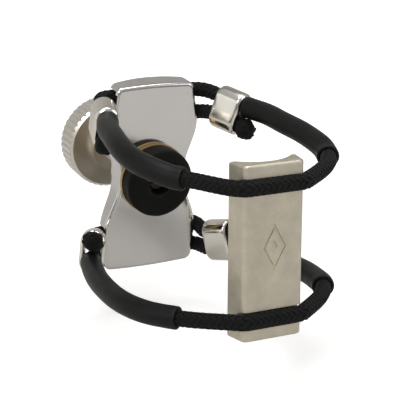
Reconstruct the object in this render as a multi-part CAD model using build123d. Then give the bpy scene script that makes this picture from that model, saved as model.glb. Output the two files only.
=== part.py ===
from build123d import *
import math
import os

os.makedirs("parts", exist_ok=True)

# Saxophone ligature with two cord loops, all lengths in millimetres.
# +Z runs along the mouthpiece, -Y points from the frame plate to the reed plate and X is
# across. "Front" is towards -Y, "right" towards +X and "upper" towards +Z.
# Everything is drawn from the centre of the frame plate's front face and then moved,
# so that the origin of the saved parts is the middle of the whole.
ORIGIN_SHIFT = (0.3199, 11.2615, -0.2828)

# The frame plate and its screw lean by this angle about X, top towards the reed plate,
# and the reed plate sits lower than the frame plate.
FRAME_PITCH = 6.0
PLATE_DROP = -1.42

CLEAR = 1.0                # how far cutters run past the faces they open
TOL = 1e-3                 # for picking edges by place
CORNERS = ((-1, -1), (-1, 1), (1, -1), (1, 1))     # signs of X and Z

# Frame plate: hourglass tray, open at the back
FRAME_HALF_H = 18.0
FRAME_TOP_HALF_W = 7.95    # at the top corners
FRAME_BOTTOM_HALF_W = 9.05 # at the bottom corners
# side between the corners, top to bottom: half width, height
FRAME_SIDE = (
    (8.5, 14.2), (9.05, 10.0), (8.2, 6.3), (7.08, 3.0), (6.75, 0.0),
    (7.15, -3.0), (8.45, -6.3), (9.5, -10.0), (9.45, -14.2),
)
FRAME_CROWN = 0.3          # rise of the arched top and bottom edges
FRAME_CORNER_R = 1.5
FRAME_INNER_CORNER_R = 0.8
FRAME_DEPTH = 4.7          # on the centre line
FRAME_BACK_R = 23.0        # radius of the arched back edge
FRAME_WALL = 0.95
FRAME_LIP = 0.62           # wall at the top and bottom edges
FRAME_FLOOR = 0.9          # thickness behind the front face
FRAME_EDGE_R = 0.75        # rounding of the front edge
ARCH_CUT_H = 60.0          # height of the cylinder that trims the back
NOTCH_LOW = 9.3            # cord notches in the side walls, from this height
NOTCH_HIGH = 17.38         # to this height
NOTCH_INNER_X = 6.0        # inner side of the notch cutter
NOTCH_CUT_W = 8.0
NOTCH_CUT_DEPTH = 10.0
RELIEF_X_UPPER = 7.6       # the floor is thinner from here outwards at the upper notches
RELIEF_X_LOWER = 8.3       # and from here at the lower ones
RELIEF_FLOOR = 0.5         # floor thickness there
RELIEF_CUT_W = 4.0
RELIEF_CUT_DEPTH = 1.0
HUB_R = 5.7                # hub behind the floor
HUB_BACK = 6.8             # back face of the hub
HUB_SINK = 0.2             # overlap of the hub with the floor
HUB_CHAMFER = 0.4

# Bush
BUSH_R = 3.6
BUSH_FRONT = 0.15
BUSH_FLANGE_R = 4.9
BUSH_FLANGE_T = 0.8
RUN_GAP = 0.05             # radial running clearance

# Knob
KNOB_Y = 19.2              # front face, next to the frame plate
KNOB_T = 5.5
KNOB_R = 8.8
KNOB_CHAMFER = 0.55
KNOB_RIDGES = 44
RIDGE_GROOVE_W = 0.62      # side of the square groove cutter, turned on edge
RIDGE_GROOVE_OUT = 0.12    # cutter's centre outside the rim
RIDGE_GROOVE_LEN = 40.0
KNOB_DISH_RIM = 1.5        # rim around the dished back face
KNOB_DISH_DEPTH = 0.5
KNOB_HUB_R = 4.6
KNOB_HUB_LEN = 1.6
KNOB_HUB_SINK = 0.5        # overlap of its hub with the knob
KNOB_BORE_GAP = 0.005      # radial
KNOB_BORE_DEPTH = 4.3

# Pad and its backing
PAD_R = 6.6
PAD_FRONT = -3.9
PAD_EDGE_R = 0.6
PAD_RECESS_R = 2.2         # hole through the pad
BACKING_R = 6.75
BACKING_T = 0.8
PAD_GAP = 0.10             # between the frame plate and the pad backing
BACKING_FRONT = -PAD_GAP - BACKING_T

# Spindle, with a nose that carries the pad
SPINDLE_R = 2.5            # M5
SPINDLE_FRONT = -PAD_GAP + 0.05
SPINDLE_IN_KNOB = 4.2      # length inside the knob
SPINDLE_CHAMFER = 0.4
NOSE_R = 1.5
NOSE_FRONT = BACKING_FRONT - 0.08
NOSE_ROOT = 1.0            # the nose starts here, inside the spindle
SPINDLE_BORE_R = 0.85
SPINDLE_BORE_END = 4.4

# Pad retaining screw
PAD_SCREW_R = 1.85
PAD_SCREW_HEAD_T = 1.3
PAD_SCREW_EDGE_R = 0.4
PAD_SHANK_R = 0.8
PAD_SHANK_END = 3.9
PAD_SHANK_SINK = 0.2       # overlap of the shank with the head
SLOT_LEN = 4.4
SLOT_DEPTH = 0.55
SLOT_W = 0.55

# Cords inside the tray, and their posts
CORD_R = 1.4
CORD_Y = 2.75              # cord centres inside the tray
PAIR_Z = 13.48             # centre height of a strand pair
PAIR_HALF = 2.25           # half distance between the two strands
INNER_Z = PAIR_Z - PAIR_HALF
OUTER_Z = PAIR_Z + PAIR_HALF
TURN_X = 8.6               # where the strands start to turn out of the notches
POST_X = 4.05
POST_R = 0.7
POST_FOOT_Y = 0.35         # bottom of the post and of its blind hole
POST_HOLE_OVER = 0.3       # the hole's cutter runs this far past the floor
POST_HEAD_R = 1.75
POST_HEAD_Y = 4.62
POST_HEAD_T = 0.7
POST_HEAD_EDGE_R = 0.35
POST_SINK = 0.1            # overlap of the post with its head
BEAD_R = 1.78              # melted end of a cord
BEAD_REACH = 0.75          # each of the two steps from the inner strand to the bead
STUB_TILT = 0.5            # inward slope of the cord's end at the bead

# The four quarters of the ring. "signs" are those of X and Z; the rest is given as if it
# were the upper right one: centre of the ferrule, heading of its axis from X towards -Y,
# turn about its own axis, (x, y, z) points along the middle of the sleeve, its end, and
# the heading there from -X towards -Y.
# "bow_in" and "bow_out" set how the inner and outer strands swing out between the ferrule
# and the frame plate: the straight lead at the ferrule, then at the frame plate.
QUARTERS = {
    "upper_right": dict(
        signs=(1, 1), centre=(13.4, -5.6, 12.8), heading=66.0, lean=15.0,
        bow_in=(1.4, 2.4), bow_out=(1.2, 3.0),
        run=((16.7, -13.2, 13.35), (17.3, -18.6, 12.75), (17.9, -23.2, 12.2),
             (18.1, -28.0, 11.5), (17.85, -31.6, 10.9)),
        end=(16.7, -35.3, 10.25), end_heading=65.0),
    "upper_left": dict(
        signs=(-1, 1), centre=(11.9, -4.8, 12.7), heading=74.0, lean=-6.0,
        bow_in=(1.0, 2.0), bow_out=(1.0, 2.2),
        run=((14.0, -11.3, 13.45), (15.5, -16.6, 13.3), (16.75, -22.4, 12.9),
             (17.05, -27.0, 12.2), (16.3, -31.2, 11.5), (14.6, -34.7, 10.8)),
        end=(12.2, -37.9, 10.3), end_heading=53.0),
    "lower_right": dict(
        signs=(1, -1), centre=(12.9, -3.6, 13.1), heading=66.0, lean=5.0,
        bow_in=(1.8, 3.6), bow_out=(1.8, 3.4),
        run=((16.3, -11.5, 13.9), (17.4, -17.5, 13.6), (17.9, -23.0, 13.4),
             (17.8, -28.5, 13.2), (17.1, -32.6, 13.05)),
        end=(16.0, -36.0, 12.95), end_heading=62.0),
    "lower_left": dict(
        signs=(-1, -1), centre=(13.2, -1.9, 12.1), heading=64.0, lean=5.0,
        bow_in=(1.2, 2.2), bow_out=(1.0, 2.4),
        run=((16.4, -9.6, 13.15), (17.6, -14.4, 13.2), (18.45, -20.3, 13.2),
             (18.75, -25.4, 13.15), (18.35, -30.3, 13.05), (17.0, -34.6, 13.0)),
        end=(13.9, -39.3, 12.9), end_heading=50.0),
}

# Ferrules
FERRULE_DROP = 0.20        # fall per unit length, towards mid-height
FERRULE_LEN = 5.8
FERRULE_BORE_R = 1.46
FERRULE_WALL = 0.88
FERRULE_CHAMFER = 0.35
STRAND_OFF = 1.75          # strand centres from the ferrule axis
STRAND_LEAD = 0.25         # the strands stay straight this far past the ferrule's ends

# Sleeves
SLEEVE_R = 2.0
SLEEVE_BORE_R = 1.45

# Reed plate
PLATE_HALF_H = 15.0
PLATE_FLAT_HALF_W = 5.45   # front face
PLATE_HALF_W = 6.2         # across the splayed flanks
PLATE_FRONT = -46.4        # front face, the outer one
PLATE_INNER = -42.1        # rails that touch the reed
PLATE_RAIL = 1.15          # width of a rail
PLATE_EDGE_R = 1.1         # rounding of the long front edges
PLATE_WEB = 2.1            # thickness at the middle of the hollow back
PLATE_END_R = 0.45         # rounding of the ends
MARK_W = 4.4               # lozenge outline cut in the front face
MARK_H = 8.0
MARK_HOLLOW_W = MARK_W - 1.0   # width of the uncut lozenge inside the outline
MARK_CORE_W = 1.3          # width of the cut lozenge at its middle
MARK_Z = 0.9
MARK_DEPTH = 0.28

# Cords on the reed plate, and their grooves
PLATE_CORD_Z = 11.35       # height of the grooves from the plate's middle
PLATE_CORD_Y = -46.55      # cord centre on the plate
BEND_ANGLE = math.radians(38)  # heading of the cord where it meets the plate
BEND_R = 2.0
BEND_X = 4.75              # the cord is straight across the plate up to here
GROOVE_R = 1.46
LOWER_GROOVE_R = 1.60      # the lower pair is the open pivot of the linkage
GROOVE_FAR_X = 14.0        # outer end of the groove cutter
GROOVE_SWINGS = (0, -4, 4, -8, 8, -12, 12)     # degrees about the groove


def cyl_y(radius, y0, y1, x=0.0, z=0.0):
    """Cylinder along Y from y0 to y1."""
    return Pos(x, (y0 + y1) / 2, z) * Rot(90, 0, 0) * Cylinder(radius, y1 - y0)


def slab_y(face, y0, y1):
    """Extrude a sketch drawn in (X, Z) from y0 to y1."""
    return extrude(Plane.XZ.offset(-y0) * face, amount=-(y1 - y0))


def circles(shape):
    """Circular edges, front to back."""
    return shape.edges().filter_by(GeomType.CIRCLE).sort_by(Axis.Y)


def save(shape, name):
    export_step(Pos(*ORIGIN_SHIFT) * shape, "parts/" + name + ".step")


def save_on_frame(shape, name):
    """For pieces drawn square to the frame plate."""
    save(Rot(FRAME_PITCH, 0, 0) * shape, name)


# ---------------------------------------------------------------- frame plate
def frame_outline(corner_r, wall=0.0, lip=0.0):
    """Hourglass, drawn in by the wall at its sides and by the lip at top and bottom."""
    h = FRAME_HALF_H - lip
    stations = ((FRAME_TOP_HALF_W, h), *FRAME_SIDE, (FRAME_BOTTOM_HALF_W, -h))
    right = [(x - wall, z) for x, z in stations]
    left = [(-x, z) for x, z in reversed(right)]
    outline = make_face(Wire([
        Spline(*right),
        ThreePointArc(right[-1], (0, -h - FRAME_CROWN), left[0]),
        Spline(*left),
        ThreePointArc(left[-1], (0, h + FRAME_CROWN), right[0]),
    ]))
    return fillet(outline.vertices(), corner_r)


def frame_plate():
    tray = slab_y(frame_outline(FRAME_CORNER_R), 0, FRAME_DEPTH)
    front_edges = [e for e in tray.edges() if abs(e.center().Y) < TOL]
    tray = fillet(front_edges, FRAME_EDGE_R)
    hollow = frame_outline(FRAME_INNER_CORNER_R, FRAME_WALL, FRAME_LIP)
    tray -= slab_y(hollow, FRAME_FLOOR, FRAME_DEPTH + CLEAR)
    # the back is arched across X, deepest on the centre line
    tray &= Pos(0, FRAME_DEPTH - FRAME_BACK_R, 0) * Cylinder(FRAME_BACK_R, ARCH_CUT_H)

    # cord notches, open to the back
    notch_h = NOTCH_HIGH - NOTCH_LOW
    for sx, sz in CORNERS:
        z = sz * (NOTCH_LOW + NOTCH_HIGH) / 2
        notch_at = Pos(sx * (NOTCH_INNER_X + NOTCH_CUT_W / 2), FRAME_FLOOR + NOTCH_CUT_DEPTH / 2, z)
        tray -= notch_at * Box(NOTCH_CUT_W, NOTCH_CUT_DEPTH, notch_h)
        # the floor is thinned at its edge, so that the swinging cords stay clear of it
        relief_x = RELIEF_X_UPPER if sz > 0 else RELIEF_X_LOWER
        relief_at = Pos(sx * (relief_x + RELIEF_CUT_W / 2), RELIEF_FLOOR + RELIEF_CUT_DEPTH / 2, z)
        tray -= relief_at * Box(RELIEF_CUT_W, RELIEF_CUT_DEPTH, notch_h)

    # hub behind the floor, bored for the bush
    tray += cyl_y(HUB_R, FRAME_FLOOR - HUB_SINK, HUB_BACK)
    tray -= cyl_y(BUSH_R, -CLEAR, HUB_BACK + CLEAR)
    hub_rim = [e for e in tray.edges().filter_by(GeomType.CIRCLE)
               if abs(e.center().Y - HUB_BACK) < TOL and abs(e.radius - HUB_R) < TOL]
    tray = chamfer(hub_rim, HUB_CHAMFER)
    # post holes in the floor
    for sx, sz in CORNERS:
        tray -= cyl_y(POST_R, POST_FOOT_Y, FRAME_FLOOR + POST_HOLE_OVER, sx * POST_X, sz * PAIR_Z)
    return tray.solids().sort_by(SortBy.VOLUME)[-1]


def thread_bush():
    """Bush pressed in the hub, with a flange on the hub's back face."""
    flange_back = HUB_BACK + BUSH_FLANGE_T
    bush = cyl_y(BUSH_R, BUSH_FRONT, HUB_BACK) + cyl_y(BUSH_FLANGE_R, HUB_BACK, flange_back)
    bush -= cyl_y(SPINDLE_R + RUN_GAP, BUSH_FRONT - CLEAR, flange_back + CLEAR)
    return bush.solids()[0]


def cord_post(sx, sz):
    """Headed post standing in the tray."""
    post = cyl_y(POST_R, POST_FOOT_Y, POST_HEAD_Y + POST_SINK)
    head = cyl_y(POST_HEAD_R, POST_HEAD_Y, POST_HEAD_Y + POST_HEAD_T)
    head = fillet(circles(head)[-1], POST_HEAD_EDGE_R)
    return (Pos(sx * POST_X, 0, sz * PAIR_Z) * (post + head)).solids()[0]


# ---------------------------------------------------------------- thumb screw and pad
def screw_spindle():
    spindle = cyl_y(SPINDLE_R, SPINDLE_FRONT, KNOB_Y + SPINDLE_IN_KNOB)
    spindle = chamfer(circles(spindle)[-1], SPINDLE_CHAMFER)
    spindle += cyl_y(NOSE_R, NOSE_FRONT, NOSE_ROOT)
    spindle -= cyl_y(SPINDLE_BORE_R, BACKING_FRONT - CLEAR, SPINDLE_BORE_END)
    return spindle.solids()[0]


def thumb_knob():
    """Ridged knob with a hub at the front and a dished back face."""
    knob_back = KNOB_Y + KNOB_T
    knob = cyl_y(KNOB_R, KNOB_Y, knob_back)
    rims = circles(knob)
    knob = chamfer([rims[0], rims[-1]], KNOB_CHAMFER)
    groove = Box(RIDGE_GROOVE_W, RIDGE_GROOVE_W, RIDGE_GROOVE_LEN)
    groove = Pos(KNOB_R + RIDGE_GROOVE_OUT, 0, 0) * Rot(0, 0, 45) * groove
    groove = Pos(0, KNOB_Y, 0) * Rot(90, 0, 0) * groove
    for i in range(KNOB_RIDGES):
        knob -= Rot(0, 360.0 * i / KNOB_RIDGES, 0) * groove
    hub_front = KNOB_Y - KNOB_HUB_LEN
    knob += cyl_y(KNOB_HUB_R, hub_front, KNOB_Y + KNOB_HUB_SINK)
    knob -= cyl_y(KNOB_R - KNOB_DISH_RIM, knob_back - KNOB_DISH_DEPTH, knob_back + CLEAR)
    knob -= cyl_y(SPINDLE_R + KNOB_BORE_GAP, hub_front - CLEAR, KNOB_Y + KNOB_BORE_DEPTH)
    return knob.solids()[0]


def pad_backing():
    """Brass disc behind the pad."""
    hole = cyl_y(NOSE_R + RUN_GAP, BACKING_FRONT - CLEAR, -PAD_GAP + CLEAR)
    return (cyl_y(BACKING_R, BACKING_FRONT, -PAD_GAP) - hole).solids()[0]


def pad_disc():
    pad = cyl_y(PAD_R, PAD_FRONT, BACKING_FRONT)
    pad = fillet(circles(pad)[0], PAD_EDGE_R)
    pad -= cyl_y(PAD_RECESS_R, PAD_FRONT - CLEAR, BACKING_FRONT + CLEAR)
    return pad.solids()[0]


def pad_retaining_screw():
    """Slotted screw that holds pad and backing on the spindle's nose."""
    head_front = NOSE_FRONT - PAD_SCREW_HEAD_T
    screw = cyl_y(PAD_SCREW_R, head_front, NOSE_FRONT)
    screw = fillet(circles(screw)[0], PAD_SCREW_EDGE_R)
    screw += cyl_y(PAD_SHANK_R, NOSE_FRONT - PAD_SHANK_SINK, PAD_SHANK_END)
    screw -= Pos(0, head_front, 0) * Box(SLOT_LEN, 2 * SLOT_DEPTH, SLOT_W)
    return screw.solids()[0]


# ---------------------------------------------------------------- cord paths
def on_frame(x, y, z):
    """A point given square to the frame plate."""
    pitch = math.radians(FRAME_PITCH)
    return Vector(x, y * math.cos(pitch) - z * math.sin(pitch),
                  y * math.sin(pitch) + z * math.cos(pitch))


def ferrule_axes(name):
    """Centre of a ferrule, its axis towards the reed plate, and the direction from its
    inner to its outer strand."""
    quarter = QUARTERS[name]
    sx, sz = quarter["signs"]
    heading, lean = math.radians(quarter["heading"]), math.radians(quarter["lean"])
    x, y, z = quarter["centre"]
    axis = Vector(sx * math.cos(heading), -math.sin(heading), -sz * FERRULE_DROP).normalized()
    up = Vector(0, 0, sz)
    up = (up - axis * up.dot(axis)).normalized()
    out = Vector(sx * math.sin(heading), math.cos(heading), 0)
    out = (out - axis * out.dot(axis)).normalized()
    across = (up * math.cos(lean) + out * math.sin(lean)).normalized()
    return Vector(sx * x, y, sz * z), axis, across


def strand_end(name, side, strand):
    """End of a straight strand: side -1 frame, 1 sleeve; strand -1 inner, 1 outer."""
    centre, axis, across = ferrule_axes(name)
    return centre + axis * (side * (FERRULE_LEN / 2 + STRAND_LEAD)) + across * (strand * STRAND_OFF)


def sleeve_end(name):
    """End of a sleeve at the reed plate, and the direction there."""
    quarter = QUARTERS[name]
    sx, sz = quarter["signs"]
    x, y, z = quarter["end"]
    heading = math.radians(quarter["end_heading"])
    return Vector(sx * x, y, sz * z), Vector(-sx * math.cos(heading), -math.sin(heading), 0)


def sleeve_line(name):
    quarter = QUARTERS[name]
    sx, sz = quarter["signs"]
    axis = ferrule_axes(name)[1]
    end, end_dir = sleeve_end(name)
    run = [(sx * x, y, sz * z) for x, y, z in quarter["run"]]
    return Spline(strand_end(name, 1, 1), *run, end, tangents=(axis, end_dir))


def bend_point(sx, z, angle):
    """Point of the bend beside the reed plate where the cord has this heading."""
    return Vector(sx * (BEND_X + BEND_R * math.sin(angle)),
                  PLATE_CORD_Y + BEND_R * (1 - math.cos(angle)), z)


def plate_lines(sx, z):
    """Bend and straight run of a cord, to the middle of the reed plate."""
    flat_start = Vector(sx * BEND_X, PLATE_CORD_Y, z)
    bend = ThreePointArc(bend_point(sx, z, BEND_ANGLE), bend_point(sx, z, BEND_ANGLE / 2),
                         flat_start)
    return [bend, Line(flat_start, (0, PLATE_CORD_Y, z))]


def cord_path(name):
    """Centre of the bead, and the lines from there to the middle of the reed plate."""
    quarter = QUARTERS[name]
    sx, sz = quarter["signs"]
    _, axis, across = ferrule_axes(name)
    inner_frame, inner_sleeve = strand_end(name, -1, -1), strand_end(name, 1, -1)
    outer_frame, outer_sleeve = strand_end(name, -1, 1), strand_end(name, 1, 1)
    stub = (axis - across * STUB_TILT).normalized()
    bead = inner_sleeve + axis * BEAD_REACH + stub * BEAD_REACH

    turn_in, turn_out = (on_frame(sx * TURN_X, CORD_Y, sz * z) for z in (INNER_Z, OUTER_Z))
    post_in, post_out = (on_frame(sx * POST_X, CORD_Y, sz * z) for z in (INNER_Z, OUTER_Z))
    bight_mid = on_frame(sx * (POST_X - PAIR_HALF), CORD_Y, sz * PAIR_Z)
    outward = Vector(sx, 0, 0)
    in_ferrule, in_plate = quarter["bow_in"]
    out_ferrule, out_plate = quarter["bow_out"]

    end, end_dir = sleeve_end(name)
    plate_z = sz * PLATE_CORD_Z + PLATE_DROP
    plate_dir = Vector(-sx * math.cos(BEND_ANGLE), -math.sin(BEND_ANGLE), 0)
    return bead, [
        # inner strand, through the ferrule to the post
        Spline(bead, inner_sleeve, tangents=(stub * -1, axis * -1)),
        Line(inner_sleeve, inner_frame),
        Bezier(inner_frame, inner_frame - axis * in_ferrule, turn_in + outward * in_plate, turn_in),
        Line(turn_in, post_in),
        # around the post
        ThreePointArc(post_in, bight_mid, post_out),
        # outer strand, back through the ferrule and the sleeve to the reed plate
        Line(post_out, turn_out),
        Bezier(turn_out, turn_out + outward * out_plate, outer_frame - axis * out_ferrule,
               outer_frame),
        Line(outer_frame, outer_sleeve),
        sleeve_line(name),
        Spline(end, bend_point(sx, plate_z, BEND_ANGLE), tangents=(end_dir, plate_dir)),
        *plate_lines(sx, plate_z),
    ]


def tube(lines, radius):
    """Round bar along a list of tangent lines."""
    section = Plane(origin=lines[0] @ 0, z_dir=lines[0] % 0) * Circle(radius)
    return sweep(section, path=Wire(lines))


# ---------------------------------------------------------------- cords, sleeves, ferrules
def cord_quarter(name):
    bead, lines = cord_path(name)
    bar = tube(lines, CORD_R) + Pos(bead.X, bead.Y, bead.Z) * Sphere(BEAD_R)
    return bar.solids()[0]


def cord(level):
    return (cord_quarter(level + "_right") + cord_quarter(level + "_left")).solids()[0]


def sleeve(name):
    line = sleeve_line(name)
    return (tube([line], SLEEVE_R) - tube([line], SLEEVE_BORE_R)).solids()[0]


def ferrule(name):
    """Short tube of stadium section holding two strands."""
    centre, axis, across = ferrule_axes(name)
    half = FERRULE_LEN / 2
    base = Plane(origin=centre - axis * half, x_dir=across, z_dir=axis)

    def stadium(radius):
        return extrude(base * SlotCenterToCenter(2 * STRAND_OFF, 2 * radius), amount=FERRULE_LEN)

    body = stadium(FERRULE_BORE_R + FERRULE_WALL)
    ends = [e for e in body.edges() if abs((e.center() - centre).dot(axis)) > half - TOL]
    body = chamfer(ends, FERRULE_CHAMFER)
    return (body - stadium(FERRULE_BORE_R)).solids()[0]


# ---------------------------------------------------------------- reed plate
def plate_profile():
    """Section in X and Y: flat front, splayed flanks, two rails and a hollow back."""
    wide, flat, hollow = PLATE_HALF_W, PLATE_FLAT_HALF_W, PLATE_HALF_W - PLATE_RAIL
    return make_face(Wire([
        Line((-flat, PLATE_FRONT), (flat, PLATE_FRONT)),
        Line((flat, PLATE_FRONT), (wide, PLATE_INNER)),
        Line((wide, PLATE_INNER), (hollow, PLATE_INNER)),
        ThreePointArc((hollow, PLATE_INNER), (0, PLATE_FRONT + PLATE_WEB), (-hollow, PLATE_INNER)),
        Line((-hollow, PLATE_INNER), (-wide, PLATE_INNER)),
        Line((-wide, PLATE_INNER), (-flat, PLATE_FRONT)),
    ]))


def groove_cutter(radius):
    """Upper right half of a cord groove, with a straight lead outwards."""
    start = bend_point(1, PLATE_CORD_Z, BEND_ANGLE)
    far_y = start.Y + (GROOVE_FAR_X - start.X) * math.tan(BEND_ANGLE)
    far = Vector(GROOVE_FAR_X, far_y, start.Z)
    return tube([Line(far, start), *plate_lines(1, PLATE_CORD_Z)], radius).solids()[0]


def lozenge(width):
    x, z = width / 2, width / 2 * MARK_H / MARK_W
    return make_face(Polyline((0, z), (x, 0), (0, -z), (-x, 0), close=True))


def reed_plate():
    plate = extrude(plate_profile(), amount=2 * PLATE_HALF_H)
    plate = Pos(0, 0, -PLATE_HALF_H) * plate
    long_edges = [e for e in plate.edges().filter_by(Axis.Z)
                  if abs(e.center().Y - PLATE_FRONT) < TOL]
    plate = fillet(long_edges, PLATE_EDGE_R)
    ends = [e for e in plate.edges() if abs(abs(e.center().Z) - PLATE_HALF_H) < TOL]
    # the fillet may fail at the sharp rail corners; a smaller chamfer then takes its place
    try:
        plate = fillet(ends, PLATE_END_R)
    except Exception:
        plate = chamfer(ends, PLATE_END_R * 0.7)

    # cord grooves, flared for the swing of the cords about the groove
    for radius, sz in ((GROOVE_R, 1), (LOWER_GROOVE_R, -1)):
        right = groove_cutter(radius)
        if sz < 0:
            right = right.mirror(Plane.XY)
        left = right.mirror(Plane.YZ)
        pivot = Axis((0, PLATE_CORD_Y, sz * PLATE_CORD_Z), (1, 0, 0))
        for swing in GROOVE_SWINGS:
            plate -= right.rotate(pivot, swing)
            plate -= left.rotate(pivot, swing)

    # plain lozenge cut in the front face as decoration
    mark = (lozenge(MARK_W) - lozenge(MARK_HOLLOW_W)) + lozenge(MARK_CORE_W)
    plate -= Pos(0, 0, MARK_Z) * slab_y(mark, PLATE_FRONT, PLATE_FRONT + MARK_DEPTH)
    return plate.solids().sort_by(SortBy.VOLUME)[-1]


# ---------------------------------------------------------------- saved parts
for piece in (frame_plate, thread_bush, screw_spindle, thumb_knob,
              pad_backing, pad_disc, pad_retaining_screw):
    save_on_frame(piece(), piece.__name__)
for name, quarter in QUARTERS.items():
    save_on_frame(cord_post(*quarter["signs"]), "cord_post_" + name)
    save(sleeve(name), "sleeve_" + name)
    save(ferrule(name), "ferrule_" + name)
for level in ("upper", "lower"):
    save(cord(level), level + "_cord")
save(Pos(0, 0, PLATE_DROP) * reed_plate(), "reed_plate")
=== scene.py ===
"""Corded ring with a thumb screw, drawn in mm in the CAD frame: +X right, +Y back, +Z up.

An upper and a lower braided cord run from the frame plate at the back (+Y), down both sides
through ferrules and rubber sleeves, to the reed plate at the front (-Y). The threaded spindle
and its rubber pad lie along Y, square to the leaning frame plate.
"""
import bpy
import math
import numpy as np
from mathutils import Matrix, Vector


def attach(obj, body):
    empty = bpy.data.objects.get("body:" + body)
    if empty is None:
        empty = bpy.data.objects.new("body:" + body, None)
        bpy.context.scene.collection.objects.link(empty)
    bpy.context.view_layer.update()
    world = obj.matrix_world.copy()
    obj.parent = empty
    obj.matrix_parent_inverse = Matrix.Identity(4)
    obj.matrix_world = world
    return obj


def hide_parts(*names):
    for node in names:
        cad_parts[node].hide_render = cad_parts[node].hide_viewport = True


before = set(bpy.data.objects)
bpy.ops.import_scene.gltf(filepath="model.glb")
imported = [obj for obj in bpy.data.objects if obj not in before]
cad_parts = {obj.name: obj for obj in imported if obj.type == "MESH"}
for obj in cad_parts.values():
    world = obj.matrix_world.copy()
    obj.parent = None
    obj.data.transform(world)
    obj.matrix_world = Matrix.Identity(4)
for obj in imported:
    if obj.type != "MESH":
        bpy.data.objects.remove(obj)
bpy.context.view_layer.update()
MM = 0.001
TURN = 2 * np.pi

# Middle of the frame plate's front face, and the plate's lean about X
FRAME_ORIGIN = np.array((0.3199, 11.2615, -0.2828))
FRAME_LEAN = math.radians(6.0)

# ----------------------------------------------------------------- cord centre lines

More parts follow.
